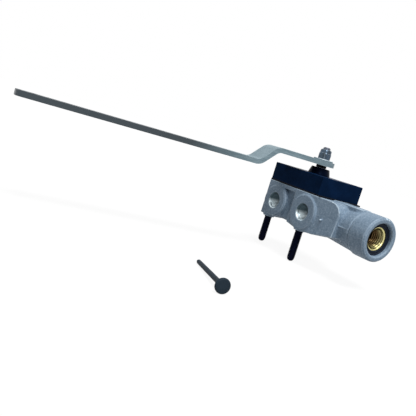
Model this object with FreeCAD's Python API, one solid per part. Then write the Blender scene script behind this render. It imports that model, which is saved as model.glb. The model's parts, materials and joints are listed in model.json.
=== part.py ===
# Float valve: a lever-operated levelling valve with a die-cast housing.
#
# The lever turns an upright shaft. A crank pin under the shaft pushes a spool along
# the housing, which joins the two front ports to the inlet or to the exhaust.
#
# Millimetres. X runs to the inlet, Y to the back, Z up along the shaft. Sizes are
# measured from the shaft's axis and from the face that the cover is bolted down on,
# and the whole valve is moved to its frame when it is written: the origin is midway
# between the two mounting studs, on the face that meets the bracket.

import math
import os

import FreeCAD
import Part

V = FreeCAD.Vector

# ---- Cover, gasket and screws ----
cover_length = 62.0
cover_width = 45.0
cover_height = 14.5
cover_edge = 0.5
gasket_thickness = 1.2
gasket_window_radius = 11.5
screw_end_inset = 5.5         # screws, from the cover's ends and sides
screw_side_inset = 5.0
screw_radius = 2.5
screw_hole_clearance = 0.05
screw_depth = 8.0
screw_head_radius = 4.25
screw_head_height = 5.0
screw_recess = 0.8            # how far the heads stand below the cover's top
screw_head_clearance = 0.35
screw_socket_flats = 4.0
screw_socket_depth = 2.6

# ---- Housing ----
chamber_right_margin = 3.0    # how far the housing stands out past the cover at the neck
front_wall_setback = 3.5      # wall between the bosses, behind the cover's front
chamber_depth = 28.4
chamber_corner = 4.0
chamber_foot_chamfer = 1.5
port_drop = 15.9              # the axis of every port, below the cover's seat
left_port_x = -17.0
right_port_x = 20.5
left_boss_radius = 14.0
right_boss_radius = 14.9
boss_stand = 1.5              # boss faces, in front of the cover's front
boss_length = 12.0
boss_rim_chamfer = 1.2
port_bore_radius = 6.0
port_bore_depth = 13.0
port_mouth_chamfer = 1.2
port_passage_radius = 2.0
pad_left = 5.0                # raised pad round the right boss, which runs on to the neck
pad_bend = 31.0
pad_right = 55.0
pad_step = 1.2                # pad's face, behind the boss faces
pad_draft = 4.0               # how far the pad's right end leans back
pad_shoulder = 10.0           # radius of its upper right corner
pad_end_height = 25.8
pad_foot_rise = 1.3           # how far its lower edge climbs to the right
left_pad_depth = 30.0         # flat ground round the left boss, down to its stud
pad_edge_chamfer = 0.9
neck_start = 34.0
neck_radius = 13.9
neck_end = 65.0
neck_end_radius = 15.9
groove_radius = 15.2          # shallow groove between neck and collar
collar_start = 67.0
collar_radius = 16.9
collar_edge_round = 1.3
inlet_face = 82.5
ledge_end = 63.0              # flat ledge along the top of the neck
ledge_width = 15.0
ledge_thickness = 5.0
ledge_rise = 0.9              # its top, above the cover's seat
flange_thickness = 3.2        # lip of the housing under the cover
waist_depth = 2.0             # how far the right end wall stands in under that lip
parting_ridge = 0.5
nub_drop = 16.2               # small ejector mark on the pad
nub_x = 41.2
nub_radius = 0.8

# ---- Shaft, bearing and hub ----
shaft_radius = 4.0
shaft_running_clearance = 0.03
bush_wall = 2.0
shaft_seal_height = 3.2
shaft_seal_setback = 1.0      # seal's top, below the cover's top
crank_disc_radius = 8.0
crank_disc_thickness = 3.5
crank_pin_radius = 2.0
crank_throw = 3.0
crank_pin_reach = 1.0         # how far the pin ends below the spool's axis
crank_well_clearance = 0.6
thrust_gap = 0.2
hub_base_radius = 9.2
hub_top_radius = 7.6
hub_height = 5.8
hub_bore_gap = 0.3
hub_to_spacer_gap = 0.2

# ---- Lever and what clamps it ----
spacer_height = 2.1
spacer_radius = 4.3
lever_width = 20.0
lever_thickness = 4.0
lever_drop = 13.3             # from the hub end down to the long end
lever_bend_reach = 51.5       # shaft to the upper bend
lever_reach = 246.0           # shaft to the tip
lever_bend_angle = 45.0
lever_bend_radius = 7.0       # inside radius of both bends
lever_tip_round = 5.0
lever_rest_angle = -5.8       # swing from -Y, about Z
linkage_hole_radius = 3.2
linkage_hole_pitch = 22.0
linkage_hole_count = 2
linkage_hole_inset = 11.0
stud_end_radius = 3.0
stud_end_height = 11.3        # above the lever's top face
stud_end_chamfer = 0.8
clamp_clearance = 0.05
washer_radius = 8.2
washer_thickness = 1.2
nut_flats = 10.0
nut_hex_height = 5.4
nut_height = 8.2
nut_collar_radius = 4.7
nut_corner_chamfer = 0.7
nut_turn = -43.0
insert_radius = 4.0
insert_depth = 2.2

# ---- Spool ----
spool_bore_radius = 6.0
spool_bore_end = 36.0
spool_clearance = 0.05
spool_end_room = 2.2          # free travel left of the spool, up to the plug
spool_right = 31.0
spool_waist_radius = 4.0
spool_waist_length = 7.0
spool_slot_clearance = 0.15
spool_slot_below_pin = 0.8
plug_radius = 8.0
plug_length = 4.5

# ---- Inlet ----
inlet_recess_radius = 12.4
inlet_recess_depth = 11.0
inlet_recess_chamfer = 0.8
fitting_radius = 9.2
fitting_length = 20.0
fitting_inset = 3.8           # face of the brass fitting, behind the collar's face
inlet_bore_radius = 7.4
inlet_bore_depth = 13.0
inlet_mouth_chamfer = 0.7
ring_inset = 2.8              # face of the black ring, behind the collar's face
feed_passage_radius = 3.6      # from the inlet to the spool

# ---- Underside ----
stud_spacing = 43.0
stud_pattern_x = -2.0
stud_setback = 3.5            # studs, behind the cover's front
stud_radius = 3.2
stud_reaches = (23.0, 25.9)   # left and right, below the mounting face
stud_root_radius = 2.7
stud_root_clearance = 0.05
stud_root_depth = 8.0
stud_tip_radius = 1.9
stud_tip_length = 1.5
stud_pad_radius = 5.0
mounting_drop = 31.2          # mounting face, below the cover's seat
exhaust_x = 3.0
exhaust_y = 6.0
exhaust_boss_radius = 8.0
exhaust_boss_height = 2.6
exhaust_pocket_radius = 5.0
exhaust_disc_thickness = 3.0
exhaust_passage_radius = 2.8

# ---- Loose locking pin, lying by the valve on the level of the studs' tips ----
lock_head_x = 114.5
lock_head_y = -145.5
lock_heading = 165.0          # direction from head to tip, about Z
lock_length = 54.0
lock_radius = 1.6
lock_tip_radius = 0.9
lock_tip_length = 1.4
lock_head_radius = 4.55
lock_head_thickness = 1.5
lock_head_crown = 0.7
lock_root_fillet = 0.8

# ---- Levels and places that follow from the sizes ----
cover_end = cover_length / 2
cover_side = cover_width / 2
chamber_left = cover_end
chamber_right = cover_end + chamber_right_margin
chamber_front = cover_side - front_wall_setback
chamber_back = cover_side
boss_front = cover_side + boss_stand
pad_face = boss_front - pad_step
screw_x = cover_end - screw_end_inset
screw_y = cover_side - screw_side_inset
stud_pattern_y = stud_setback - cover_side
bush_length = cover_height - shaft_seal_height - shaft_seal_setback
spool_left = plug_length - chamber_left + spool_end_room
seat_of_cover = gasket_thickness
top_of_cover = seat_of_cover + cover_height
top_of_hub = top_of_cover + hub_height
foot_of_spacer = top_of_hub + hub_to_spacer_gap
foot_of_lever = foot_of_spacer + spacer_height
top_of_lever = foot_of_lever + lever_thickness
foot_of_nut = top_of_lever + washer_thickness
top_of_shaft = top_of_lever + stud_end_height
top_of_crank_disc = seat_of_cover - thrust_gap
foot_of_crank_disc = top_of_crank_disc - crank_disc_thickness
foot_of_crank_pin = -port_drop - crank_pin_reach
crank_well_top = foot_of_crank_disc - crank_well_clearance
fitting_face = inlet_face - fitting_inset
fitting_back = fitting_face - fitting_length
recess_floor = inlet_face - inlet_recess_depth
inlet_bore_floor = fitting_face - inlet_bore_depth
exhaust_face = -chamber_depth - exhaust_boss_height
floor_level = -mounting_drop - max(stud_reaches)
front_ports = (left_port_x, right_port_x)
stud_places = (stud_pattern_x - stud_spacing / 2, stud_pattern_x + stud_spacing / 2)
screw_places = [(sx * screw_x, sy * screw_y) for sx in (-1, 1) for sy in (-1, 1)]
FRAME_MOVE = V(-stud_pattern_x, -stud_pattern_y, mounting_drop)


# ---- Helpers ----
def rod_z(x, y, low, high, radius):
    return Part.makeCylinder(radius, high - low, V(x, y, low), V(0, 0, 1))


def rod_x(left, right, radius, y=0.0, z=-port_drop):
    return Part.makeCylinder(radius, right - left, V(left, y, z), V(1, 0, 0))


def rod_y(front, back, radius, x, z=-port_drop):
    return Part.makeCylinder(radius, back - front, V(x, front, z), V(0, 1, 0))


def block(x0, x1, y0, y1, z0, z1):
    return Part.makeBox(x1 - x0, y1 - y0, z1 - z0, V(x0, y0, z0))


def turned(points, axis_point, axis):
    """Solid of revolution of a closed profile."""
    wire = Part.makePolygon(points + [points[0]])
    return Part.Face(wire).revolve(axis_point, axis, 360)


def turned_x(profile):
    """Profile of (x, radius) pairs, turned about the port axis that runs along X."""
    points = [V(x, 0, radius - port_drop) for x, radius in profile]
    return turned(points, V(0, 0, -port_drop), V(1, 0, 0))


def turned_z(profile, x=0.0, y=0.0):
    """Profile of (radius, z) pairs, turned about an upright axis."""
    points = [V(x + radius, y, z) for radius, z in profile]
    return turned(points, V(x, y, 0), V(0, 0, 1))


def prism_z(flats, low, high, turn=0.0, x=0.0, y=0.0):
    """Hexagonal prism with a corner at the angle turn."""
    corner = flats / 2 / math.cos(math.pi / 6)
    angles = [math.radians(turn + 60 * k) for k in range(7)]
    points = [V(x + corner * math.cos(a), y + corner * math.sin(a), low) for a in angles]
    return Part.Face(Part.makePolygon(points)).extrude(V(0, 0, high - low))


def edges_where(shape, test):
    return [edge for edge in shape.Edges if test(edge)]


def is_upright(edge):
    return edge.BoundBox.ZLength > 1 and edge.BoundBox.XLength + edge.BoundBox.YLength < 0.01


def fuse_all(shapes):
    result = shapes[0].multiFuse(shapes[1:])
    return result.removeSplitter()


# ---- Housing ----
def front_boss(x, radius):
    """Round port boss whose front rim is chamfered."""
    boss = rod_y(-boss_front, boss_length - boss_front, radius, x)
    rim = edges_where(boss, lambda e: abs(e.BoundBox.YMax + boss_front) < 0.01 and e.Length > radius)
    return boss.makeChamfer(boss_rim_chamfer, rim)


def chamber_block():
    """Valve chamber: a waisted block under a lip as wide as the cover's gasket."""
    main = block(-chamber_left, chamber_right - waist_depth,
                 -chamber_front, chamber_back - waist_depth, -chamber_depth, -flange_thickness / 2)
    main = main.makeFillet(chamber_corner, edges_where(main, is_upright))
    low_edges = edges_where(main, lambda e: abs(e.BoundBox.ZMax + chamber_depth) < 0.01)
    main = main.makeChamfer(chamber_foot_chamfer, low_edges)
    lip = block(-chamber_left, chamber_right, -chamber_back, chamber_back, -flange_thickness, 0)
    lip = lip.makeFillet(chamber_corner / 2, edges_where(lip, is_upright))
    return [main, lip]


def prism_y(outline, front, back):
    """Outline of (x, z) pairs, extruded from front to back."""
    points = [V(x, front, z) for x, z in outline + outline[:1]]
    return Part.Face(Part.makePolygon(points)).extrude(V(0, back - front, 0))


def front_pads():
    """Raised pads round both bosses. The right one leans back and ends in a fold at the neck."""
    lean_end = pad_draft - pad_face
    plan = [(pad_left, -pad_face), (pad_bend, -pad_face), (pad_right - pad_edge_chamfer, lean_end),
            (pad_right, lean_end + pad_edge_chamfer), (pad_right, 0), (pad_left, 0)]
    base = Part.Face(Part.makePolygon([V(x, y, -mounting_drop) for x, y in plan + plan[:1]]))
    leaning = base.extrude(V(0, 0, mounting_drop))
    foot = -port_drop - right_boss_radius
    turns = [math.radians(angle) for angle in (0, 22.5, 45, 67.5, 90)]
    corner = [(pad_right - pad_shoulder * (1 - math.sin(a)), -pad_shoulder * (1 - math.cos(a))) for a in turns]
    outline = [(pad_left, -chamber_depth), (pad_left, 0)] + corner
    outline += [(pad_right - pad_edge_chamfer, -pad_end_height),
                (pad_bend + pad_shoulder / 2, foot + pad_foot_rise), (right_port_x, foot)]
    right_pad = leaning.common(prism_y(outline, -boss_front, 0))
    left_pad = block(-chamber_left, left_port_x, -pad_face, stud_pattern_y + stud_pad_radius, -left_pad_depth, 0)
    return [left_pad, right_pad]


def neck_and_collar():
    """Neck that widens to the inlet collar behind a shallow groove, with a flat ledge along its top."""
    edge = collar_edge_round
    neck = turned_x([(neck_start, 0), (neck_start, neck_radius), (neck_end, neck_end_radius),
                     (neck_end, groove_radius), (collar_start, groove_radius), (collar_start, collar_radius),
                     (inlet_face - edge, collar_radius), (inlet_face, collar_radius - edge), (inlet_face, 0)])
    ledge = block(neck_start, ledge_end, -ledge_width / 2, ledge_width / 2,
                  ledge_rise - ledge_thickness, ledge_rise)
    corners = edges_where(ledge, lambda e: is_upright(e) and e.BoundBox.XMax > ledge_end - 1)
    return [neck, ledge.makeFillet(ledge_thickness, corners)]


def parting_line():
    """Thin ridge of the die's parting line along the neck, and the ejector mark on the pad."""
    half = parting_ridge / 2
    neck = block(neck_start, neck_end, -neck_end_radius - half / 2, 0, -port_drop - half, -port_drop + half)
    nub = rod_y(-pad_face, 0, nub_radius, nub_x, -nub_drop)
    return [neck, nub]


def underside():
    """Pads round the two studs, and the exhaust's boss."""
    pads = [rod_z(x, stud_pattern_y, -mounting_drop, -port_drop, stud_pad_radius) for x in stud_places]
    boss = rod_z(exhaust_x, exhaust_y, exhaust_face, -port_drop, exhaust_boss_radius)
    return pads + [boss]


def port_cut(x):
    mouth = port_bore_radius + port_mouth_chamfer
    chamfer = Part.makeCone(mouth, port_bore_radius, port_mouth_chamfer,
                            V(x, -boss_front, -port_drop), V(0, 1, 0))
    bore = rod_y(-boss_front, port_bore_depth - boss_front, port_bore_radius, x)
    passage = rod_y(-boss_front, 0, port_passage_radius, x)
    return [chamfer, bore, passage]


def valve_body():
    solids = chamber_block() + front_pads() + neck_and_collar() + parting_line() + underside()
    solids += [front_boss(left_port_x, left_boss_radius), front_boss(right_port_x, right_boss_radius)]
    body = fuse_all(solids)
    body = body.cut(block(-chamber_left, chamber_right, -boss_front, chamber_back, 0, collar_radius))
    cuts = port_cut(left_port_x) + port_cut(right_port_x)
    cuts.append(rod_x(-chamber_left - 1, spool_bore_end, spool_bore_radius))
    cuts.append(rod_x(-chamber_left - 1, plug_length - chamber_left, plug_radius))
    cuts.append(rod_x(spool_bore_end, fitting_back, feed_passage_radius))
    cuts.append(rod_x(fitting_back, inlet_face, fitting_radius))
    cuts.append(turned_x([(recess_floor, 0), (recess_floor, inlet_recess_radius),
                          (inlet_face - inlet_recess_chamfer, inlet_recess_radius),
                          (inlet_face, inlet_recess_radius + inlet_recess_chamfer), (inlet_face, 0)]))
    pocket = crank_disc_radius + crank_well_clearance
    cuts.append(rod_z(0, 0, crank_well_top, 0, pocket))
    well = crank_throw + crank_pin_radius + crank_well_clearance
    cuts.append(rod_z(0, 0, -port_drop, crank_well_top, well))
    for x, y in screw_places:
        cuts.append(rod_z(x, y, -screw_depth - 1, 0, screw_radius + screw_hole_clearance))
    for x in stud_places:
        cuts.append(rod_z(x, stud_pattern_y, -mounting_drop, stud_root_depth - mounting_drop,
                          stud_root_radius + stud_root_clearance))
    cuts.append(rod_z(exhaust_x, exhaust_y, exhaust_face, exhaust_face + exhaust_disc_thickness,
                      exhaust_pocket_radius))
    cuts.append(rod_z(exhaust_x, exhaust_y, exhaust_face, -port_drop, exhaust_passage_radius))
    for cut in cuts:
        body = body.cut(cut)
    return body


def bore_plug():
    """Plug that closes the spool's bore at the left end."""
    return rod_x(-chamber_left, plug_length - chamber_left, plug_radius)


def mounting_stud(x, reach):
    """Round stud with a well rounded tip. Its root is set in the housing up to a shoulder."""
    root, tip = stud_root_depth - mounting_drop, -mounting_drop - reach
    return turned_z([(0, tip), (stud_tip_radius, tip),
                     (stud_radius, tip + stud_tip_length), (stud_radius, -mounting_drop),
                     (stud_root_radius, -mounting_drop), (stud_root_radius, root), (0, root)],
                    x, stud_pattern_y)


def exhaust_disc():
    """Sintered disc that fills the mouth of the exhaust."""
    return rod_z(exhaust_x, exhaust_y, exhaust_face, exhaust_face + exhaust_disc_thickness,
                 exhaust_pocket_radius)


# ---- Cover ----
def cover_gasket():
    sheet = block(-cover_length / 2, chamber_right, -cover_width / 2, cover_width / 2, 0, gasket_thickness)
    sheet = sheet.cut(rod_z(0, 0, 0, gasket_thickness, gasket_window_radius))
    for x, y in screw_places:
        sheet = sheet.cut(rod_z(x, y, 0, gasket_thickness, screw_radius + screw_head_clearance))
    return sheet


def cover_block():
    """Rectangular cover, counterbored for its screws and bored for the shaft's bush."""
    cover = block(-cover_length / 2, cover_length / 2, -cover_width / 2, cover_width / 2,
                  seat_of_cover, top_of_cover)
    cover = cover.makeChamfer(cover_edge, edges_where(cover, lambda e: e.BoundBox.ZMax > top_of_cover - 1))
    cover = cover.cut(rod_z(0, 0, seat_of_cover, top_of_cover, shaft_radius + bush_wall))
    seat = top_of_cover - screw_recess - screw_head_height
    for x, y in screw_places:
        cover = cover.cut(rod_z(x, y, seat, top_of_cover, screw_head_radius + screw_head_clearance))
        cover = cover.cut(rod_z(x, y, seat_of_cover, seat, screw_radius + screw_head_clearance))
    return cover


def cover_screws():
    """Four socket-headed screws, sunk below the cover's top."""
    top = top_of_cover - screw_recess
    screws = []
    for x, y in screw_places:
        screw = turned_z([(0, -screw_depth), (screw_radius, -screw_depth), (screw_radius, top - screw_head_height),
                          (screw_head_radius, top - screw_head_height), (screw_head_radius, top), (0, top)], x, y)
        screws.append(screw.cut(prism_z(screw_socket_flats, top - screw_socket_depth, top, 0, x, y)))
    return Part.makeCompound(screws)


def shaft_bush():
    high = seat_of_cover + bush_length
    bush = rod_z(0, 0, seat_of_cover, high, shaft_radius + bush_wall)
    return bush.cut(rod_z(0, 0, seat_of_cover, high, shaft_radius + shaft_running_clearance))


def shaft_seal():
    """Lip seal above the bush."""
    low = seat_of_cover + bush_length
    high = low + shaft_seal_height
    ring = rod_z(0, 0, low, high, shaft_radius + bush_wall)
    return ring.cut(rod_z(0, 0, low, high, shaft_radius + 2 * shaft_running_clearance))


def shaft_hub():
    """Conical hub that stands on the cover round the shaft."""
    bore = shaft_radius + hub_bore_gap
    return turned_z([(bore, top_of_cover), (hub_base_radius, top_of_cover),
                     (hub_top_radius, top_of_hub), (bore, top_of_hub)])


# ---- Turning parts ----
def control_shaft():
    """Shaft with a crank pin below and a threaded end above."""
    profile = [(0, foot_of_crank_disc), (crank_disc_radius, foot_of_crank_disc),
               (crank_disc_radius, top_of_crank_disc), (shaft_radius, top_of_crank_disc),
               (shaft_radius, foot_of_spacer), (stud_end_radius, foot_of_spacer),
               (stud_end_radius, top_of_shaft - stud_end_chamfer),
               (stud_end_radius - stud_end_chamfer, top_of_shaft), (0, top_of_shaft)]
    pin = rod_z(0, -crank_throw, foot_of_crank_pin, foot_of_crank_disc, crank_pin_radius)
    return turned_z(profile).fuse(pin).removeSplitter()


def lever_spacer():
    ring = rod_z(0, 0, foot_of_spacer, foot_of_lever, spacer_radius)
    return ring.cut(rod_z(0, 0, foot_of_spacer, foot_of_lever, stud_end_radius + clamp_clearance))


def lever_side_profile():
    """Side view of the joggled strip, with sharp bends, as a face in the YZ plane."""
    slope = math.radians(lever_bend_angle)
    run = lever_drop / math.tan(slope)
    shift = lever_thickness * math.tan(slope / 2)
    start = lever_width / 2
    low_bend = lever_bend_reach + run
    top = [(-start, top_of_lever), (lever_bend_reach, top_of_lever),
           (low_bend, top_of_lever - lever_drop), (lever_reach, top_of_lever - lever_drop)]
    foot = [(lever_reach, foot_of_lever - lever_drop), (low_bend - shift, foot_of_lever - lever_drop),
            (lever_bend_reach - shift, foot_of_lever), (-start, foot_of_lever)]
    points = [V(-lever_width / 2, -reach, z) for reach, z in top + foot]
    return Part.Face(Part.makePolygon(points + [points[0]]))


def round_lever_bends(strip):
    """Inside and outside radii of both bends, from one sheet-metal bend radius."""
    slope = math.radians(lever_bend_angle)
    low_bend = lever_bend_reach + lever_drop / math.tan(slope)
    shift = lever_thickness * math.tan(slope / 2)
    outer = lever_bend_radius + lever_thickness
    bends = [(lever_bend_reach, top_of_lever, outer),
             (lever_bend_reach - shift, foot_of_lever, lever_bend_radius),
             (low_bend, top_of_lever - lever_drop, lever_bend_radius),
             (low_bend - shift, foot_of_lever - lever_drop, outer)]
    for reach, z, radius in bends:
        edge = edges_where(strip, lambda e: abs(e.BoundBox.YMax + reach) < 0.01
                           and abs(e.BoundBox.ZMax - z) < 0.01 and e.BoundBox.XLength > 1)
        strip = strip.makeFillet(radius, edge)
    return strip


def lever_arm():
    """Flat strip with a joggle, a round hub end and holes for the float's linkage."""
    strip = round_lever_bends(lever_side_profile().extrude(V(lever_width, 0, 0)))
    low, high = foot_of_lever - lever_drop - 1, top_of_lever + 1
    half = lever_width / 2
    plan = block(-half, half, -lever_reach, 0, low, high)
    tip = edges_where(plan, lambda e: is_upright(e) and e.BoundBox.YMax < -lever_reach + 1)
    plan = plan.makeFillet(lever_tip_round, tip).fuse(rod_z(0, 0, low, high, half))
    lever = strip.common(plan)
    lever = lever.cut(rod_z(0, 0, low, high, stud_end_radius + clamp_clearance))
    for k in range(linkage_hole_count):
        y = linkage_hole_inset + k * linkage_hole_pitch - lever_reach
        lever = lever.cut(rod_z(0, y, low, high, linkage_hole_radius))
    return lever


def lever_washer():
    washer = rod_z(0, 0, top_of_lever, foot_of_nut, washer_radius)
    return washer.cut(rod_z(0, 0, top_of_lever, foot_of_nut, stud_end_radius + clamp_clearance))


def lever_nut():
    """Self-locking hexagon nut: chamfered corners and a round collar on top."""
    hex_top = foot_of_nut + nut_hex_height
    top = foot_of_nut + nut_height
    corner = nut_flats / 2 / math.cos(math.pi / 6)
    form = turned_z([(0, foot_of_nut), (corner, foot_of_nut), (corner, hex_top - nut_corner_chamfer),
                     (nut_collar_radius, hex_top), (nut_collar_radius, top - nut_corner_chamfer),
                     (nut_collar_radius - nut_corner_chamfer, top), (0, top)])
    nut = form.common(prism_z(nut_flats, foot_of_nut, top, nut_turn))
    nut = nut.cut(rod_z(0, 0, foot_of_nut, top, stud_end_radius + clamp_clearance))
    return nut.cut(rod_z(0, 0, top - insert_depth, top, insert_radius))


def nut_insert():
    top = foot_of_nut + nut_height
    ring = rod_z(0, 0, top - insert_depth, top, insert_radius)
    return ring.cut(rod_z(0, 0, top - insert_depth, top, stud_end_radius + clamp_clearance))


# ---- Spool ----
def control_spool():
    """Spool with two waists at the front ports and a slot for the crank pin."""
    radius = spool_bore_radius - spool_clearance
    spool = rod_x(spool_left, spool_right, radius)
    for x in front_ports:
        left, right = x - spool_waist_length / 2, x + spool_waist_length / 2
        spool = spool.cut(rod_x(left, right, spool_bore_radius).cut(rod_x(left, right, spool_waist_radius)))
    half_slot = crank_pin_radius + spool_slot_clearance
    slot = block(-half_slot, half_slot, -spool_bore_radius, spool_bore_radius,
                 foot_of_crank_pin - spool_slot_below_pin, 0)
    return spool.cut(slot)


# ---- Inlet ----
def inlet_fitting():
    """Brass fitting with the threaded inlet."""
    fitting = rod_x(fitting_back, fitting_face, fitting_radius)
    fitting = fitting.cut(rod_x(inlet_bore_floor, fitting_face, inlet_bore_radius))
    fitting = fitting.cut(rod_x(fitting_back, inlet_bore_floor, feed_passage_radius))
    mouth = Part.makeCone(inlet_bore_radius, inlet_bore_radius + inlet_mouth_chamfer, inlet_mouth_chamfer,
                          V(fitting_face - inlet_mouth_chamfer, 0, -port_drop), V(1, 0, 0))
    return fitting.cut(mouth)


def inlet_ring():
    """Black ring that fills the collar's recess and stands out round the brass fitting."""
    face = inlet_face - ring_inset
    ring = rod_x(recess_floor, face, inlet_recess_radius)
    return ring.cut(rod_x(recess_floor, face, fitting_radius))


# ---- Loose pin ----
def locking_pin():
    """Mushroom-headed pin that lies on its head's rim and its tip."""
    back = lock_head_thickness + lock_head_crown
    root = lock_radius + lock_root_fillet
    pin = turned([V(0, 0, 0), V(0, 0, lock_head_radius - lock_head_crown),
                  V(lock_head_crown, 0, lock_head_radius), V(back, 0, lock_head_radius), V(back, 0, root),
                  V(back + lock_root_fillet, 0, lock_radius),
                  V(lock_length - lock_tip_length, 0, lock_radius),
                  V(lock_length, 0, lock_tip_radius), V(lock_length, 0, 0)], V(0, 0, 0), V(1, 0, 0))
    lean = math.degrees(math.atan2(lock_head_radius - lock_radius, lock_length - lock_tip_length - back))
    pin.rotate(V(0, 0, 0), V(0, 1, 0), lean)
    pin.rotate(V(0, 0, 0), V(0, 0, 1), lock_heading)
    pin.translate(V(lock_head_x, lock_head_y, 0))
    pin.translate(V(0, 0, floor_level - pin.BoundBox.ZMin))
    return pin


def swung(shape):
    """Turns a piece that is clamped to the lever to the lever's resting angle."""
    shape.rotate(V(0, 0, 0), V(0, 0, 1), lever_rest_angle)
    return shape


NODES = {
    "valve_body": valve_body,
    "bore_plug": bore_plug,
    "mounting_stud_left": lambda: mounting_stud(stud_places[0], stud_reaches[0]),
    "mounting_stud_right": lambda: mounting_stud(stud_places[1], stud_reaches[1]),
    "exhaust_disc": exhaust_disc,
    "cover_gasket": cover_gasket,
    "cover_block": cover_block,
    "cover_screws": cover_screws,
    "shaft_bush": shaft_bush,
    "shaft_seal": shaft_seal,
    "shaft_hub": shaft_hub,
    "control_shaft": control_shaft,
    "lever_spacer": lever_spacer,
    "lever_arm": lambda: swung(lever_arm()),
    "lever_washer": lever_washer,
    "lever_nut": lever_nut,
    "nut_insert": nut_insert,
    "control_spool": control_spool,
    "inlet_fitting": inlet_fitting,
    "inlet_ring": inlet_ring,
    "locking_pin": locking_pin,
}


def main():
    os.makedirs("parts", exist_ok=True)
    for name, make in NODES.items():
        shape = make()
        shape.translate(FRAME_MOVE)
        shape.exportStep(f"parts/{name}.step")
        print(f"{name:22s} solids {len(shape.Solids)} valid {shape.isValid()} volume {shape.Volume:.1f}")


main()
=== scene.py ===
"""Looks of the float valve: materials, rounded and threaded pieces, studio and camera."""

import json
import math

import bmesh
import bpy
from mathutils import Matrix, Vector

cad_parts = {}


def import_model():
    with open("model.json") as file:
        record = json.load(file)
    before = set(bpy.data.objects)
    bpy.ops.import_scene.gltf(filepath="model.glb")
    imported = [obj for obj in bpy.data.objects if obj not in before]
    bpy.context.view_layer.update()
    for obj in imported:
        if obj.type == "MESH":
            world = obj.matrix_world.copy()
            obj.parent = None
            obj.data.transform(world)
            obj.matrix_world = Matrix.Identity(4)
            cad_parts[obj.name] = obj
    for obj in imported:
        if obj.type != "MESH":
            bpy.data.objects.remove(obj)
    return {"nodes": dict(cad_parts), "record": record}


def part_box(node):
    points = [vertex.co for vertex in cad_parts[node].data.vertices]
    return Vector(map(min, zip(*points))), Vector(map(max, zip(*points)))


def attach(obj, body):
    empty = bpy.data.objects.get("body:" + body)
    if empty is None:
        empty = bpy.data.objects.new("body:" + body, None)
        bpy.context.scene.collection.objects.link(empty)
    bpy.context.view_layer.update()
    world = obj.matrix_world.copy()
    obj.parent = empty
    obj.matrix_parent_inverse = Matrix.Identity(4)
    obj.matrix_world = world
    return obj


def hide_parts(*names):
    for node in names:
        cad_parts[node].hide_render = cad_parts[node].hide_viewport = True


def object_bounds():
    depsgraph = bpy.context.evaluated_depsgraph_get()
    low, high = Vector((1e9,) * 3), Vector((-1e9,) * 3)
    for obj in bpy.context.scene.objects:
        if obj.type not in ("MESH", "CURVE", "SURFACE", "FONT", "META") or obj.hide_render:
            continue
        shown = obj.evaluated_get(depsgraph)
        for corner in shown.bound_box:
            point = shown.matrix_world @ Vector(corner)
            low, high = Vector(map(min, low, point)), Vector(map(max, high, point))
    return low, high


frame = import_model()
cad_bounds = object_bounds()
NODES = frame["nodes"]
MM = 0.001


def node_box(node):
    """Lowest and highest corner of a CAD node, in millimetres."""
    low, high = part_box(node)
    return low / MM, high / MM


# Places and sizes in millimetres, in the row's frame, read from the solids where their boxes tell them.
WASHER = node_box("lever_washer")
SHAFT = ((WASHER[0].x + WASHER[1].x) / 2, (WASHER[0].y + WASHER[1].y) / 2)
LEVER_TOP = WASHER[0].z
FLOOR_Z = cad_bounds[0].z / MM
FITTING = node_box("inlet_fitting")
PORT_Z = (FITTING[0].z + FITTING[1].z) / 2
INLET_FACE = node_box("valve_body")[1].x
FITTING_BORE = 7.4
LEFT_PORT, RIGHT_PORT = -17.0, 20.5     # from the shaft
PORTS_X = (SHAFT[0] + LEFT_PORT, SHAFT[0] + RIGHT_PORT)


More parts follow.
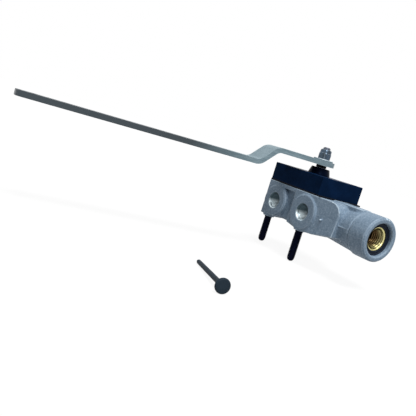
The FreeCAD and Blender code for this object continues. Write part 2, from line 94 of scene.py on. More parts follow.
# ---- Node materials ----
class Finish:
    """A Principled material with small helpers for its procedural detail."""

    def __init__(self, name, metallic=0.0, specular=0.5, tint=(1.0, 1.0, 1.0)):
        self.material = bpy.data.materials.new(name)
        self.material.use_nodes = True
        self.tree = self.material.node_tree
        self.shader = self.tree.nodes["Principled BSDF"]
        self.shader.inputs["Metallic"].default_value = metallic
        self.shader.inputs["Specular IOR Level"].default_value = specular
        self.shader.inputs["Specular Tint"].default_value = (*tint, 1.0)
        self.place = self.add("ShaderNodeTexCoord").outputs["Object"]
        self.height = None

    def add(self, kind, **settings):
        node = self.tree.nodes.new(kind)
        for key, value in settings.items():
            setattr(node, key, value)
        return node

    def link(self, output, socket):
        self.tree.links.new(output, socket)

    def stretched(self, x, y, z):
        """The place scaled along each axis, for brushed and drawn metal."""
        mapping = self.add("ShaderNodeMapping")
        mapping.inputs["Scale"].default_value = (x, y, z)
        self.link(self.place, mapping.inputs["Vector"])
        return mapping.outputs["Vector"]

    def along(self, axis):
        """The place along one axis of the row's frame, in metres."""
        parts = self.add("ShaderNodeSeparateXYZ")
        self.link(self.place, parts.inputs["Vector"])
        return parts.outputs[axis]

    def noise(self, size_mm, detail=4.0, roughness=0.55, place=None):
        node = self.add("ShaderNodeTexNoise")
        node.inputs["Scale"].default_value = 1000.0 / size_mm
        node.inputs["Detail"].default_value = detail
        node.inputs["Roughness"].default_value = roughness
        self.link(place or self.place, node.inputs["Vector"])
        return node.outputs["Fac"]

    def cells(self, size_mm):
        node = self.add("ShaderNodeTexVoronoi")
        node.inputs["Scale"].default_value = 1000.0 / size_mm
        self.link(self.place, node.inputs["Vector"])
        return node.outputs["Distance"]

    def between(self, value, low, high, to_low=0.0, to_high=1.0):
        node = self.add("ShaderNodeMapRange")
        for key, number in (("From Min", low), ("From Max", high), ("To Min", to_low), ("To Max", to_high)):
            node.inputs[key].default_value = number
        self.link(value, node.inputs["Value"])
        return node.outputs["Result"]

    def math(self, operation, a, b):
        node = self.add("ShaderNodeMath", operation=operation)
        for socket, value in zip(node.inputs, (a, b)):
            if isinstance(value, (int, float)):
                socket.default_value = value
            else:
                self.link(value, socket)
        return node.outputs["Value"]

    def blend(self, factor, a, b):
        """Mixes two colours, each a tuple or an output."""
        node = self.add("ShaderNodeMix", data_type="RGBA")
        self.link(factor, node.inputs["Factor"])
        for socket, value in ((node.inputs[6], a), (node.inputs[7], b)):
            if isinstance(value, tuple):
                socket.default_value = (*value, 1.0)
            else:
                self.link(value, socket)
        return node.outputs[2]

    def edges(self, radius_mm):
        """1 along edges and 0 on flat ground, from a rounded normal set against the true one."""
        softness = 0.12
        rounded = self.add("ShaderNodeBevel", samples=6)
        rounded.inputs["Radius"].default_value = radius_mm * MM
        true_normal = self.add("ShaderNodeNewGeometry").outputs["Normal"]
        dot = self.add("ShaderNodeVectorMath", operation="DOT_PRODUCT")
        self.link(rounded.outputs["Normal"], dot.inputs[0])
        self.link(true_normal, dot.inputs[1])
        return self.between(dot.outputs["Value"], 1.0, 1.0 - softness)

    def bump(self, height, depth_mm):
        """Adds a relief on top of the reliefs before it."""
        node = self.add("ShaderNodeBump")
        node.inputs["Distance"].default_value = depth_mm * MM
        node.inputs["Strength"].default_value = 1.0
        self.link(height, node.inputs["Height"])
        if self.height is not None:
            self.link(self.height, node.inputs["Normal"])
        self.height = node.outputs["Normal"]
        self.link(self.height, self.shader.inputs["Normal"])

    def colour(self, output):
        self.link(output, self.shader.inputs["Base Color"])

    def roughness(self, output):
        self.link(output, self.shader.inputs["Roughness"])


def cast_aluminium():
    """Die-cast skin: mottled grain, a painted highlight on convex ridges and painted shade in the hollows."""
    f = Finish("cast_aluminium", specular=0.25)
    grain, fine, patch = f.noise(1.3, 5.0, 0.7), f.noise(0.45, 4.0, 0.6), f.noise(11.0, 3.0)
    tone = f.blend(f.between(patch, 0.35, 0.65), (0.185, 0.260, 0.352), (0.220, 0.305, 0.405))
    tone = f.blend(f.between(grain, 0.50, 0.72), tone, (0.36, 0.47, 0.57))
    tone = f.blend(f.between(grain, 0.46, 0.30), tone, (0.135, 0.195, 0.262))
    bend = f.add("ShaderNodeNewGeometry").outputs["Pointiness"]
    # Painted shade: the tone darkens where the surface bends inwards.
    tone = f.blend(f.between(bend, 0.490, 0.440, 0.0, 0.75), tone, (0.085, 0.125, 0.165))
    # Painted highlight: the tone turns light where the surface bends outwards.
    f.colour(f.blend(f.between(bend, 0.512, 0.550, 0.0, 0.85), tone, (0.62, 0.75, 0.85)))
    f.roughness(f.between(grain, 0.3, 0.7, 0.58, 0.40))
    f.bump(grain, 0.18)
    f.bump(fine, 0.05)
    return f.material


def machined_aluminium():
    """Bright metal of the bored ports, with painted shade in the upper half of each bore."""
    bore_shade_from, bore_shade_full = PORT_Z - 3.5, PORT_Z + 1.0
    f = Finish("machined_aluminium", metallic=0.8, specular=0.4)
    grain = f.noise(0.5, 3.0)
    bright = f.blend(f.between(grain, 0.3, 0.7), (0.62, 0.74, 0.80), (0.84, 0.94, 0.98))
    # Painted shade: the metal darkens upwards, from a little below the ports' axis.
    painted_shade_upper = f.between(f.along("Z"), bore_shade_from * MM, bore_shade_full * MM)
    f.colour(f.blend(painted_shade_upper, bright, (0.050, 0.080, 0.095)))
    f.roughness(f.between(grain, 0.3, 0.7, 0.30, 0.44))
    f.bump(grain, 0.015)
    return f.material


def black_piece(name, tone, edge_highlight, rough, specular, tint=(1.0, 1.0, 1.0)):
    """A dark moulded or blackened piece, slightly patchy, with a painted highlight a little lighter along its
    edges.
    """
    f = Finish(name, specular=specular, tint=tint)
    grain, patch = f.noise(0.4, 3.0), f.noise(9.0, 3.0)
    base = f.blend(f.between(patch, 0.3, 0.7), tone, tuple(1.5 * c for c in tone))
    # Painted highlight: half of the edge tone is mixed in along the edges.
    f.colour(f.blend(f.math("MULTIPLY", f.edges(0.35), 0.5), base, edge_highlight))
    f.roughness(f.between(patch, 0.3, 0.7, *rough))
    f.bump(grain, 0.012)
    return f.material


def zinc(name, dark, light, bright, rough, metallic, drawn_along=1.0, painted_shade_tone=None, mottle=16.0, streak=0.3):
    """Plating with drawn streaks and a painted highlight along its edges. A darker tone, painted shade, takes
    over towards -Y, with darker edges there.
    """
    f = Finish(name, metallic=metallic, specular=0.3)
    drawn = f.noise(0.9, 4.0, 0.6, f.stretched(1.0, drawn_along, 1.0))
    patch = f.noise(mottle, 4.0, 0.6)
    tone = f.blend(f.between(patch, 0.35, 0.65), dark, light)
    tone = f.blend(f.between(drawn, 0.35, 0.75, 0.0, streak), tone, bright)
    rim = bright
    if painted_shade_tone:
        out = f.along("Y")
        tone_from, tone_by, rim_from, rim_by = -0.050, -0.105, -0.048, -0.080
        # Painted shade: the tone darkens towards -Y, and the edges' painted highlight darkens with it.
        tone = f.blend(f.between(out, tone_from, tone_by), tone, painted_shade_tone)
        rim = f.blend(f.between(out, rim_from, rim_by), bright, tuple(0.5 * c for c in painted_shade_tone))
    # Painted highlight: the bright tone is mixed in along the edges.
    f.colour(f.blend(f.math("MULTIPLY", f.edges(0.45), 0.7), tone, rim))
    f.roughness(f.between(drawn, 0.3, 0.7, *rough))
    f.bump(drawn, 0.012)
    return f.material


def brass():
    """Turned brass, with painted shade: dark in the thread's roots and browner deep in the bore."""
    bright_radius, dark_radius, mouth_radius = 6.5, 6.95, 7.9
    root_from, root_by = INLET_FACE - 4.2, INLET_FACE - 12.0
    shade_from, shade_by = INLET_FACE - 5.0, INLET_FACE - 10.0
    f = Finish("brass", metallic=0.9, specular=0.5)
    grain = f.noise(0.5, 4.0)
    tone = f.blend(f.between(grain, 0.3, 0.7), (0.50, 0.44, 0.17), (0.80, 0.74, 0.38))
    from_axis = f.add("ShaderNodeVectorMath", operation="SUBTRACT")
    from_axis.inputs[1].default_value = (0.0, SHAFT[1] * MM, PORT_Z * MM)
    f.link(f.place, from_axis.inputs[0])
    across = f.add("ShaderNodeVectorMath", operation="MULTIPLY")
    across.inputs[1].default_value = (0.0, 1.0, 1.0)
    f.link(from_axis.outputs["Vector"], across.inputs[0])
    length = f.add("ShaderNodeVectorMath", operation="LENGTH")
    f.link(across.outputs["Vector"], length.inputs[0])
    radius, x = length.outputs["Value"], f.along("X")
    root = f.between(radius, bright_radius * MM, dark_radius * MM, 0.55, 1.0)
    inside = f.between(radius, mouth_radius * MM, (FITTING_BORE + 0.05) * MM)
    deep = f.between(x, root_from * MM, root_by * MM, 0.6, 1.0)
    # Painted shade: the thread's roots inside the bore darken, more strongly deeper in.
    tone = f.blend(f.math("MULTIPLY", f.math("MULTIPLY", root, inside), deep), tone, (0.020, 0.011, 0.004))
    # Painted shade: the inside of the bore browns and darkens with depth.
    shade = f.between(x, shade_from * MM, shade_by * MM, 0.0, 0.85)
    f.colour(f.blend(f.math("MULTIPLY", inside, shade), tone, (0.085, 0.045, 0.016)))
    f.roughness(f.between(grain, 0.3, 0.7, 0.2, 0.34))
    f.bump(grain, 0.01)
    return f.material


def sintered_bronze():
    """Small bronze balls pressed together, with painted shade darker between them."""
    f = Finish("sintered_bronze", metallic=0.8)
    balls = f.cells(0.5)
    # Painted shade: the tone darkens away from each ball, into the gaps between them.
    f.colour(f.blend(f.between(balls, 0.1, 0.6), (0.42, 0.27, 0.12), (0.16, 0.10, 0.05)))
    f.roughness(f.between(balls, 0.1, 0.6, 0.4, 0.75))
    f.bump(balls, -0.15)
    return f.material


def ground_steel():
    """Bare steel with fine level marks from grinding."""
    f = Finish("ground_steel", metallic=0.9)
    grain = f.noise(0.6, 3.0, place=f.stretched(1.0, 1.0, 9.0))
    f.colour(f.blend(f.between(grain, 0.3, 0.7), (0.06, 0.07, 0.10), (0.16, 0.18, 0.22)))
    f.roughness(f.between(grain, 0.3, 0.7, 0.22, 0.36))
    f.bump(grain, 0.006)
    return f.material


def nylon():
    """Pale insert, faintly patchy."""
    f = Finish("nylon", specular=0.4)
    patch = f.noise(1.5, 3.0)
    f.colour(f.blend(f.between(patch, 0.3, 0.7), (0.50, 0.56, 0.62), (0.64, 0.69, 0.74)))
    f.roughness(f.between(patch, 0.3, 0.7, 0.35, 0.5))
    f.bump(patch, 0.02)
    return f.material


# Tints of the reflections on the black pieces.
LIGHT_BLUE = (0.3, 0.6, 1.0)
BLUE = (0.3, 0.5, 1.0)
DEEP_BLUE = (0.3, 0.4, 1.0)
LOOKS = {
    "cast_aluminium": cast_aluminium(),
    "machined_aluminium": machined_aluminium(),
    "cover_black": black_piece("cover_black", (0.0028, 0.0115, 0.0370), (0.012, 0.030, 0.065),
                               rough=(0.22, 0.34), specular=0.01, tint=LIGHT_BLUE),
    "hub_black": black_piece("hub_black", (0.0010, 0.0026, 0.0100), (0.012, 0.018, 0.030),
                             rough=(0.22, 0.34), specular=0.05, tint=BLUE),
    "seal_black": black_piece("seal_black", (0.003, 0.004, 0.007), (0.02, 0.024, 0.03),
                              rough=(0.5, 0.65), specular=0.08),
    "ring_black": black_piece("ring_black", (0.006, 0.010, 0.020), (0.04, 0.06, 0.09),
                              rough=(0.35, 0.5), specular=0.12),
    "black_steel": black_piece("black_steel", (0.0022, 0.0028, 0.0100), (0.012, 0.014, 0.024),
                               rough=(0.40, 0.55), specular=0.04, tint=DEEP_BLUE),
    "pin_slate": black_piece("pin_slate", (0.017, 0.027, 0.038), (0.030, 0.042, 0.055),
                             rough=(0.45, 0.6), specular=0.05),
    "zinc_steel": zinc("zinc_steel", (0.150, 0.230, 0.270), (0.195, 0.280, 0.325), (0.56, 0.70, 0.76),
                       rough=(0.34, 0.48), metallic=0.15, drawn_along=0.06, painted_shade_tone=(0.058, 0.074, 0.086)),
    "zinc_blue": zinc("zinc_blue", (0.028, 0.038, 0.042), (0.075, 0.125, 0.195), (0.70, 0.80, 0.88),
                      rough=(0.12, 0.20), metallic=0.95, mottle=9.0, streak=0.06),
    # A lighter copy of the lever's zinc, for the painted highlight on the washer's top.
    "zinc_painted_highlight": zinc("zinc_painted_highlight", (0.62, 0.70, 0.74), (0.80, 0.86, 0.88), (0.90, 0.94, 0.95),
                        rough=(0.25, 0.4), metallic=0.2),
    "ground_steel": ground_steel(),
    "brass": brass(),
    "bronze": sintered_bronze(),
    "nylon": nylon(),
}


# ---- Mesh helpers ----
SAME_PLACE = 2e-6     # metres


def new_piece(name, mesh, body, slot, replaced=(), look=None, smooth=35.0):
    """A visible piece on a body. Its look is its slot's, unless another is named."""
    piece = linked(bpy.data.objects.new(name, mesh))
    mesh.materials.clear()
    mesh.materials.append(LOOKS[look or slot])
    mesh.shade_smooth()
    mesh.set_sharp_from_angle(angle=math.radians(smooth))
    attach(piece, body)
    if replaced:
        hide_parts(*replaced)
    return piece


def linked(obj):
    bpy.context.scene.collection.objects.link(obj)
    return obj


def mesh_from(name, bm):
    bmesh.ops.recalc_face_normals(bm, faces=bm.faces)
    mesh = bpy.data.meshes.new(name)
    bm.to_mesh(mesh)
    bm.free()
    return mesh


def axis_matrix(origin_mm, direction):
    """Carries +Z at the origin to the given place and direction, in metres."""
    turn = Vector((0, 0, 1)).rotation_difference(Vector(direction)).to_matrix().to_4x4()
    return Matrix.Translation(Vector(origin_mm) * MM) @ turn


def rounded_profile(points, radius, steps=3):
    """Rounds the corners of an open (radius, height) profile. A third number is the corner's own radius."""
    most_of_side = 0.45
    result = [tuple(points[0][:2])]
    for before, here, after in zip(points, points[1:], points[2:]):
        p, a, b = Vector(here[:2]), Vector(before[:2]), Vector(after[:2])
        own = here[2] if len(here) > 2 else radius
        cut = min(own, most_of_side * (a - p).length, most_of_side * (b - p).length)
        if cut <= 0:
            result.append(tuple(p))
            continue
        start, end = p + (a - p).normalized() * cut, p + (b - p).normalized() * cut
        for k in range(steps + 1):
            t = k / steps
            point = start * (1 - t) ** 2 + p * (2 * t * (1 - t)) + end * t**2
            result.append(tuple(point))
    result.append(tuple(points[-1][:2]))
    return result


def wave_at(turn, z, pitch):
    """Height of a thread's flank, from 0 in the root to 1 at the crest, with a flat on each."""
    steepness = 1.5
    saw = abs(((z / pitch - turn) % 1.0) * 2 - 1)
    return min(1.0, max(0.0, 0.5 + steepness * (saw - 0.5)))


def ringed(name, rings, matrix, segments=48, hexagon=None, closed=False):
    """Skin through rings of (radius, height) in mm about +Z. A radius may be a function of the turn, from
    0 to 1, and a ring of no radius closes the skin with a fan. A hexagon is (across flats, degrees)."""
    bm = bmesh.new()
    loops = []
    for radius, z in rings:
        if not callable(radius) and radius < 1e-6:
            loops.append([bm.verts.new((0, 0, z * MM))])
            continue
        loop = []
        for k in range(segments):
            turn = k / segments
            r = radius(turn) if callable(radius) else radius
            if hexagon:
                flats, first_flat = hexagon
                off = (math.degrees(math.tau * turn) - first_flat + 30.0) % 60.0 - 30.0
                r = min(r, flats / 2 / math.cos(math.radians(30.0 - abs(off))))
            place = (r * math.cos(math.tau * turn), r * math.sin(math.tau * turn), z)
            loop.append(bm.verts.new([c * MM for c in place]))
        loops.append(loop)
    pairs = list(zip(loops, loops[1:])) + ([(loops[-1], loops[0])] if closed else [])
    for low, high in pairs:
        for k in range(segments):
            after = k + 1
            quad = [low[k % len(low)], low[after % len(low)], high[after % len(high)], high[k % len(high)]]
            corners = [v for i, v in enumerate(quad) if v not in quad[:i]]
            if len(corners) > 2:
                bm.faces.new(corners)
    bm.transform(matrix)
    return mesh_from(name, bm)


def lathe(name, profile, matrix, closed=True):
    """Turns a (radius, height) profile in mm about +Z."""
    return ringed(name, profile, matrix, segments=64, closed=closed)


def thread_rings(crest, root, pitch, low, high, steps=8):
    """Rings of a helical thread whose ends run out over one turn."""
    count = max(steps, int((high - low) / pitch * steps))
    rings = []
    for k in range(count + 1):
        z = low + (high - low) * k / count
        fade = max(0.0, min(1.0, (z - low) / pitch, (high - z) / pitch))
        rings.append((lambda turn, z=z, fade=fade: root + (crest - root) * fade * wave_at(turn, z, pitch), z))
    return rings


def evaluated(name, obj):
    """The object's mesh with its modifiers applied, and the object removed."""
    bpy.context.view_layer.update()
    graph = bpy.context.evaluated_depsgraph_get()
    mesh = bpy.data.meshes.new_from_object(obj.evaluated_get(graph))
    mesh.name = name
    bpy.data.objects.remove(obj)
    return mesh


def joined_copy(node, name):
    """Copy of a solid whose flat faces are joined up, so that its edges can be rounded."""
    flat_within = math.radians(0.6)
    bm = bmesh.new()
    bm.from_mesh(NODES[node].data)
    bmesh.ops.remove_doubles(bm, verts=bm.verts, dist=SAME_PLACE)
    bmesh.ops.dissolve_limit(bm, angle_limit=flat_within, verts=bm.verts, edges=bm.edges)
    return mesh_from(name, bm)


def bevelled(piece, width_mm, segments=2, angle=32.0):
    bevel = piece.modifiers.new("rounded_edges", "BEVEL")
    bevel.width = width_mm * MM
    bevel.segments = segments
    bevel.limit_method = "ANGLE"
    bevel.angle_limit = math.radians(angle)
    bevel.harden_normals = True
    return piece


def up_at(x, y):
    return axis_matrix((x, y, 0), (0, 0, 1))


# ---- Housing ----
def housing_casting():
    """The housing as a casting: the solid's form with every edge softened and a fine skin."""
    skin_grid, smoothing_rounds = 0.42, 5
    bore_reach, bore_start = 7.0, SHAFT[1] - 10.0
    bm = bmesh.new()
    bm.from_mesh(NODES["valve_body"].data)
    bmesh.ops.remove_doubles(bm, verts=bm.verts, dist=SAME_PLACE)
    rough = linked(bpy.data.objects.new("rough_casting", mesh_from("rough_casting", bm)))
    remesh = rough.modifiers.new("skin", "REMESH")
    remesh.mode = "VOXEL"
    remesh.voxel_size = skin_grid * MM
    soften = rough.modifiers.new("soften", "SMOOTH")
    soften.factor = 0.5
    soften.iterations = smoothing_rounds
    piece = new_piece("housing_casting", evaluated("housing_casting", rough), "housing", "cast_aluminium",
                      ["valve_body"], smooth=60.0)
    piece.data.materials.append(LOOKS["machined_aluminium"])
    for face in piece.data.polygons:
        x, y, z = (c / MM for c in face.center)
        bored = y < bore_start and any(math.hypot(x - port, z - PORT_Z) < bore_reach for port in PORTS_X)
        face.material_index = 1 if bored else 0


def port_threads():
    """Cut threads in the two front ports, from just inside their chamfers."""
    crest, root, pitch, length = 5.35, 5.98, 1.5, 11.6
    mouth = SHAFT[1] - 22.8
    for name, x in zip(("left_port_thread", "right_port_thread"), PORTS_X):
        rings = thread_rings(crest, root, pitch, 0.0, length)
        mesh = ringed(name, rings, axis_matrix((x, mouth, PORT_Z), (0, 1, 0)), 64)
        new_piece(name, mesh, "housing", "cast_aluminium", look="machined_aluminium")


def mounting_studs():
    """Threaded studs with domed tips, a plain neck at the pads and a root inside the housing."""
    crest, root, pitch = 3.17, 2.82, 1.0
    dome_radius, dome_height = 2.8, 2.4
    neck, thread_top = -1.3, -1.6
    buried_radius, buried_height = 2.68, 7.9
    for node in ("mounting_stud_left", "mounting_stud_right"):
        low, high = node_box(node)
        middle, end = (low + high) / 2, low.z
        tip = [(0.0, end)]
        for degrees in range(15, 91, 15):
            a = math.radians(degrees)
            tip.append((dome_radius * math.sin(a), end + dome_height * (1 - math.cos(a))))
        thread = thread_rings(crest, root, pitch, end + dome_height, thread_top)
        shank = [(crest, neck), (crest, 0.0), (buried_radius, 0.0), (buried_radius, buried_height),
                 (0.0, buried_height)]
        mesh = ringed(node, tip + thread + shank, up_at(middle.x, middle.y))
        new_piece(f"{node}_threaded", mesh, "housing", "black_steel", [node])


# ---- Cover, hub and seals ----
def cover():
    """The cover block with its edges rounded."""
    mesh = joined_copy("cover_block", "cover_rounded")
    piece = new_piece("cover_rounded", mesh, "housing", "cover_black", ["cover_block"], smooth=30.0)
    bevelled(piece, 0.28)


def hub():
    """Cone round the shaft, on a low straight foot."""
    box_low, box_high = node_box("shaft_hub")
    low, high = box_low.z, box_high.z
    bore, foot_radius, foot_height, top_radius = 4.3, 9.3, 0.7, 7.6
    profile = rounded_profile([(bore, low), (foot_radius, low), (foot_radius - 0.1, low + foot_height),
                               (top_radius, high), (bore, high)], 0.45)
    new_piece("hub_cone", lathe("hub_cone", profile, up_at(*SHAFT)), "housing", "hub_black", ["shaft_hub"])


# ---- Lever and its clamping pieces ----
# The lever, a flat bar whose middle line runs out from the shaft. Millimetres and degrees.
LEVER_HALF, LEVER_THICK, LEVER_REACH, TIP_ROUND = 10.0, 4.0, 246.0, 5.0
BEND_REACH, LEVER_DROP, BEND_ANGLE, BEND_RADIUS = 51.5, 13.3, 45.0, 9.0     # radius of the middle line
LEVER_TURN = -5.8
HUB_HOLE, LINK_HOLE, LINK_INSETS = 3.05, 3.2, (33.0, 11.0)
LEVER_MIDDLE = LEVER_TOP - LEVER_THICK / 2


def lever_stations():
    """Cross-sections along the bar: reach from the shaft, height, slope and half width."""
    hub_steps, bend_steps, tip_steps = 14, 8, 8
    straight_upper, straight_lower = 16.0, (110.0, 160.0, 200.0)
    slope = math.radians(BEND_ANGLE)
    half_slope = math.tan(slope / 2)
    tangent = BEND_RADIUS * half_slope
    upper_bend = BEND_REACH - LEVER_THICK * half_slope / 2
    lower_bend = upper_bend + LEVER_DROP
    low = LEVER_MIDDLE - LEVER_DROP
    stations = []
    for k in range(1, hub_steps + 1):
        a = math.pi / 2 * k / hub_steps
        stations.append((-LEVER_HALF * math.cos(a), LEVER_MIDDLE, 0.0, LEVER_HALF * math.sin(a)))
    stations.append((straight_upper, LEVER_MIDDLE, 0.0, LEVER_HALF))
    for k in range(bend_steps + 1):
        a = slope * k / bend_steps
        stations.append((upper_bend - tangent + BEND_RADIUS * math.sin(a),
                         LEVER_MIDDLE - BEND_RADIUS * (1 - math.cos(a)), a, LEVER_HALF))
    for k in range(bend_steps + 1):
        a = slope * (bend_steps - k) / bend_steps
        stations.append((lower_bend + tangent - BEND_RADIUS * math.sin(a),
                         low + BEND_RADIUS * (1 - math.cos(a)), a, LEVER_HALF))
    stations += [(reach, low, 0.0, LEVER_HALF) for reach in straight_lower]
    for k in range(tip_steps + 1):
        a = math.pi / 2 * k / tip_steps
        stations.append((LEVER_REACH - TIP_ROUND + TIP_ROUND * math.sin(a), low, 0.0,
                         LEVER_HALF - TIP_ROUND * (1 - math.cos(a))))
    return stations


def lever_bar():
    """The bar's skin through its stations, along -Y from the shaft."""
    bm = bmesh.new()
    rings = []
    for reach, z, slope, width in lever_stations():
        across = Vector((0, -math.sin(slope), math.cos(slope))) * LEVER_THICK / 2
        side, centre = Vector((width, 0, 0)), Vector((0, -reach, z))
        top, foot = centre + across, centre - across
        rings.append([bm.verts.new(v * MM) for v in (top - side, top + side, foot + side, foot - side)])
    for before, after in zip(rings, rings[1:]):
        for k in range(4):
            bm.faces.new((before[k], before[(k + 1) % 4], after[(k + 1) % 4], after[k]))
    bm.faces.new(rings[0])
    bm.faces.new(list(reversed(rings[-1])))
    return linked(bpy.data.objects.new("strip", mesh_from("strip", bm)))


def lever():
    """Joggled bar with a round hub end, rounded edges, a hub hole and two link holes."""
    strip = lever_bar()
    drill_reach = 5.0
    holes = [(0.0, LEVER_MIDDLE, HUB_HOLE)]
    holes += [(LEVER_REACH - inset, LEVER_MIDDLE - LEVER_DROP, LINK_HOLE) for inset in LINK_INSETS]
    drills = []
    for reach, z, r in holes:
        ends = [(0.0, -drill_reach), (r, -drill_reach), (r, drill_reach), (0.0, drill_reach)]
        mesh = ringed("drill", ends, axis_matrix((0, -reach, z), (0, 0, 1)), 48)
        drill = linked(bpy.data.objects.new("drill", mesh))
        hole = strip.modifiers.new("hole", "BOOLEAN")
        hole.object = drill
        hole.solver = "EXACT"
        drills.append(drill)
    mesh = evaluated("lever_strip", strip)
    for drill in drills:
        bpy.data.objects.remove(drill)
    to_shaft = Matrix.Translation((SHAFT[0] * MM, SHAFT[1] * MM, 0))
    mesh.transform(to_shaft @ Matrix.Rotation(math.radians(LEVER_TURN), 4, "Z"))
    piece = new_piece("lever_strip", mesh, "lever", "zinc_steel", ["lever_arm"], smooth=40.0)
    bevelled(piece, 0.45, 3, 50.0)


def washer():
    """Flat washer with a lighter top as a painted highlight, a plated rim, and black lower faces and corner
    as painted shade.
    """
    low, high = WASHER[0].z, WASHER[1].z
    profile = rounded_profile([(HUB_HOLE, low), (8.2, low, 0.35), (8.2, high, 0.5), (HUB_HOLE, high)], 0.25)
    disc = new_piece("washer_rounded", lathe("washer_rounded", profile, up_at(*SHAFT)), "lever", "zinc_steel",
                     ["lever_washer"])
    disc.data.materials.append(LOOKS["zinc_painted_highlight"])
    disc.data.materials.append(LOOKS["seal_black"])
    # Painted highlight in the lighter zinc on faces turned up, painted shade in black seal on faces turned
    # down.
    for face in disc.data.polygons:
        face.material_index = 1 if face.normal.z > 0.2 else 2 if face.normal.z < -0.2 else 0


def nut():
    """Self-locking hexagon nut: chamfered hexagon, round collar and a lip turned in over the insert."""
    base = WASHER[1].z
    flats, first_flat = 10.0, -43.0
    profile = rounded_profile([(HUB_HOLE, base), (5.1, base, 0), (5.8, base + 0.35, 0), (5.8, base + 4.6, 0),
                               (4.75, base + 5.3), (4.7, base + 5.9), (4.7, base + 7.4, 0.7),
                               (4.0, base + 8.15, 0.3), (3.75, base + 7.8), (HUB_HOLE, base + 7.4)], 0.25)
    mesh = ringed("nut_hexagon", profile + profile[:1], up_at(*SHAFT), 96, (flats, first_flat))
    new_piece("nut_hexagon", mesh, "lever", "zinc_blue", ["lever_nut"], smooth=25.0)


def shaft_end():
    """Thread of the shaft's end, where it stands out of the nut."""
    crest, root, pitch = 3.2, 2.99, 1.0
    rings = thread_rings(crest, root, pitch, WASHER[1].z + 7.2, WASHER[1].z + 9.6)
    new_piece("shaft_end_thread", ringed("shaft_end_thread", rings, up_at(*SHAFT)), "lever", "ground_steel")


# ---- Inlet ----
def inlet():
    """Brass fitting with a cut thread, and the moulded ring round it, in the collar's recess."""
    back, face, outer = FITTING[0].x, FITTING[1].x, 9.15
    passage, thread_end = 3.6, back + 7.0
    fitting = rounded_profile([(FITTING_BORE, thread_end), (FITTING_BORE, face - 1.0), (8.4, face, 0.2),
                               (outer, face, 0.4), (outer, back), (passage, back), (passage, thread_end)],
                              0.15)
    along = axis_matrix((0, SHAFT[1], PORT_Z), (1, 0, 0))
    new_piece("fitting_turned", lathe("fitting_turned", fitting, along), "housing", "brass",
              ["inlet_fitting"])
    crest, root, pitch = 6.45, FITTING_BORE - 0.02, 1.75
    rings = thread_rings(crest, root, pitch, face - 12.4, face - 0.4)
    new_piece("inlet_thread", ringed("inlet_thread", rings, along, 64), "housing", "brass")
    behind, front, groove = INLET_FACE - 11.0, INLET_FACE - 2.8, 0.5
    inner, rim = 9.2, 12.35
    ring = rounded_profile([(inner, behind), (rim, behind), (rim, front), (11.6, front),
                            (11.4, front - groove), (10.1, front - groove), (9.9, front),
                            (inner, front - 0.3)], 0.2)
    new_piece("ring_moulded", lathe("ring_moulded", ring, along), "housing", "seal_black", ["inlet_ring"],
              "ring_black")


# ---- Loose pin ----
def pin():
    """Mushroom-headed pin with a tapering shank, lying on its head's rim and its tip."""
    length, head_radius, tip_radius = 54.0, 4.55, 1.6
    profile = rounded_profile([(0.0, 0.0), (3.9, 0.1, 0.3), (head_radius, 0.9, 0.4), (head_radius, 1.6, 0.4),
                               (3.9, 2.2, 0.3), (2.1, 2.3, 0.5), (1.65, 3.6, 0.4), (1.45, 52.1, 0.4),
                               (0.9, length, 0.3), (0.0, length)], 0.2, 5)
    rim_to_tip = length - 1.4 - 2.2
    lean = Matrix.Rotation(math.atan2(head_radius - tip_radius, rim_to_tip), 4, "Y")
    right_of_shaft, in_front = 114.5, 145.5
    heading = Matrix.Rotation(math.radians(165.0), 4, "Z")
    level = Matrix.Rotation(math.radians(90.0), 4, "Y")
    head = Matrix.Translation(Vector((SHAFT[0] + right_of_shaft, SHAFT[1] - in_front, 0)) * MM)
    mesh = lathe("pin_turned", profile, head @ heading @ lean @ level, closed=False)
    lowest = min(v.co.z for v in mesh.vertices)
    mesh.transform(Matrix.Translation((0, 0, FLOOR_Z * MM - lowest)))
    new_piece("pin_turned", mesh, frame_body("locking_pin"), "pin_slate", ["locking_pin"])


def frame_body(node):
    bodies = frame["record"]["behaviour"]["bodies"]
    return next(body for body, members in bodies.items() if node in members)


# ---- CAD nodes keep their shape and take a finish ----
FINISHES = {
    "bore_plug": "ground_steel", "exhaust_disc": "bronze", "cover_gasket": "seal_black",
    "cover_screws": "black_steel", "shaft_bush": "bronze", "shaft_seal": "seal_black",
    "control_shaft": "ground_steel", "lever_spacer": "seal_black", "nut_insert": "nylon",
    "control_spool": "ground_steel", "inlet_ring": "seal_black", "valve_body": "cast_aluminium",
    "mounting_stud_left": "black_steel", "mounting_stud_right": "black_steel",
    "cover_block": "cover_black", "shaft_hub": "hub_black", "lever_arm": "zinc_steel",
    "lever_washer": "zinc_painted_highlight", "lever_nut": "zinc_blue", "inlet_fitting": "brass",
    "locking_pin": "pin_slate",
}
for node_name, look in FINISHES.items():
    solid = NODES[node_name]
    for slot in solid.material_slots:
        slot.material = LOOKS[look]
    solid.data.shade_smooth()
    solid.data.set_sharp_from_angle(angle=math.radians(30))

for build in (housing_casting, port_threads, mounting_studs, cover, hub, lever, washer, nut, shaft_end,
              inlet, pin):
    build()


# ---- Studio ----
def any_direct_ray(tree):
    """1 for a camera, glossy or transmission ray, which all see the white background."""
    path = tree.nodes.new("ShaderNodeLightPath")
    result = path.outputs["Is Camera Ray"]
    for name in ("Is Glossy Ray", "Is Transmission Ray"):
        more = tree.nodes.new("ShaderNodeMath")
        more.operation = "MAXIMUM"
        tree.links.new(result, more.inputs[0])
        tree.links.new(path.outputs[name], more.inputs[1])
        result = more.outputs[0]
    return result


def mixed(tree, factor, first, second):
    """Mixes two shaders by a factor, all given as outputs."""
    mix = tree.nodes.new("ShaderNodeMixShader")
    for output, socket in zip((factor, first, second), mix.inputs):
        tree.links.new(output, socket)
    return mix.outputs[0]


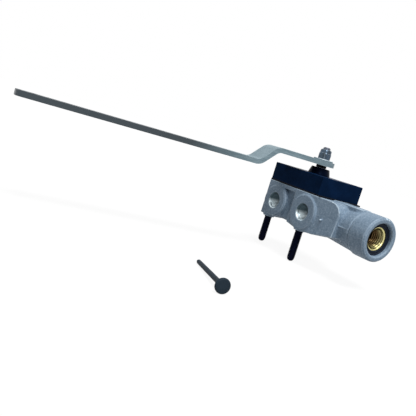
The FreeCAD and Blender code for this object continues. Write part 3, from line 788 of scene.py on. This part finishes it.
def ground():
    """White floor that keeps the object's shadow. Seen from below it is clear."""
    just_below = 0.0002
    shadow_tone, white_level, white_share = 0.35, 1.24, 0.75
    bm = bmesh.new()
    bmesh.ops.create_grid(bm, x_segments=1, y_segments=1, size=6.0)
    bm.transform(Matrix.Translation((0, 0, FLOOR_Z * MM - just_below)))
    floor = linked(bpy.data.objects.new("floor", mesh_from("floor", bm)))
    material = bpy.data.materials.new("floor_white")
    material.use_nodes = True
    tree = material.node_tree
    tree.nodes.clear()
    matte = tree.nodes.new("ShaderNodeBsdfDiffuse")
    matte.inputs["Color"].default_value = (shadow_tone, shadow_tone, shadow_tone, 1)
    white = tree.nodes.new("ShaderNodeEmission")
    white.inputs["Strength"].default_value = white_level
    share = tree.nodes.new("ShaderNodeMath")
    share.operation = "MULTIPLY"
    share.inputs[1].default_value = white_share
    tree.links.new(any_direct_ray(tree), share.inputs[0])
    clear = tree.nodes.new("ShaderNodeBsdfTransparent")
    below = tree.nodes.new("ShaderNodeNewGeometry").outputs["Backfacing"]
    upper_side = mixed(tree, share.outputs[0], matte.outputs[0], white.outputs[0])
    surface = mixed(tree, below, upper_side, clear.outputs[0])
    out = tree.nodes.new("ShaderNodeOutputMaterial")
    tree.links.new(surface, out.inputs["Surface"])
    floor.data.materials.append(material)


def world():
    """White background to the camera and in reflections, and a soft fill to everything else."""
    fill_level, background_level = 0.16, 1.0
    scene_world = bpy.data.worlds.new("studio")
    scene_world.use_nodes = True
    bpy.context.scene.world = scene_world
    tree = scene_world.node_tree
    background = tree.nodes["Background"]
    background.inputs["Color"].default_value = (1, 1, 1, 1)
    level = tree.nodes.new("ShaderNodeMapRange")
    level.inputs["To Min"].default_value = fill_level
    level.inputs["To Max"].default_value = background_level
    tree.links.new(any_direct_ray(tree), level.inputs["Value"])
    tree.links.new(level.outputs["Result"], background.inputs["Strength"])


def key_light():
    """One broad key from above the inlet's side, as even over the floor as over the object."""
    data = bpy.data.lights.new("key", "SUN")
    data.energy = 0.92 * math.pi
    data.angle = math.radians(24.0)
    key = linked(bpy.data.objects.new("key", data))
    key.rotation_euler = Vector((0.36, -0.12, 0.92)).to_track_quat("Z", "Y").to_euler()


def side_lamp():
    """Small lamp at the front right, which reaches into the ports. Metres and watts."""
    place, aim, size, power = Vector((0.70, -0.38, 0.45)), Vector((0.04, 0.02, 0.03)), 0.12, 1.2
    data = bpy.data.lights.new("side", "AREA")
    data.shape = "RECTANGLE"
    data.size, data.size_y = size, size
    data.energy = power
    light = linked(bpy.data.objects.new("side", data))
    light.location = place
    light.rotation_euler = (aim - place).to_track_quat("-Z", "Y").to_euler()


def camera():
    """In front on the inlet's side, a little above the lever, and rolled so that the valve leans."""
    azimuth, elevation, roll = math.radians(57.62), math.radians(7.86), math.radians(16.7)
    from_shaft = (329.7, -305.3)
    above_ports = 38.2
    back = Vector((math.sin(azimuth) * math.cos(elevation), -math.cos(azimuth) * math.cos(elevation),
                   math.sin(elevation)))
    level = Vector((math.cos(azimuth), math.sin(azimuth), 0))
    rise = back.cross(level)
    right = level * math.cos(roll) + rise * math.sin(roll)
    up = rise * math.cos(roll) - level * math.sin(roll)
    data = bpy.data.cameras.new("camera")
    data.lens = 45.0
    data.sensor_width = 36.0
    data.clip_start = 0.01
    cam = linked(bpy.data.objects.new("camera", data))
    place = Vector((SHAFT[0] + from_shaft[0], SHAFT[1] + from_shaft[1], PORT_Z + above_ports)) * MM
    cam.matrix_world = Matrix(((right.x, up.x, back.x, place.x), (right.y, up.y, back.y, place.y),
                               (right.z, up.z, back.z, place.z), (0, 0, 0, 1)))
    bpy.context.scene.camera = cam


ground()
world()
camera()
key_light()
side_lamp()

bpy.context.scene.view_settings.view_transform = "Standard"
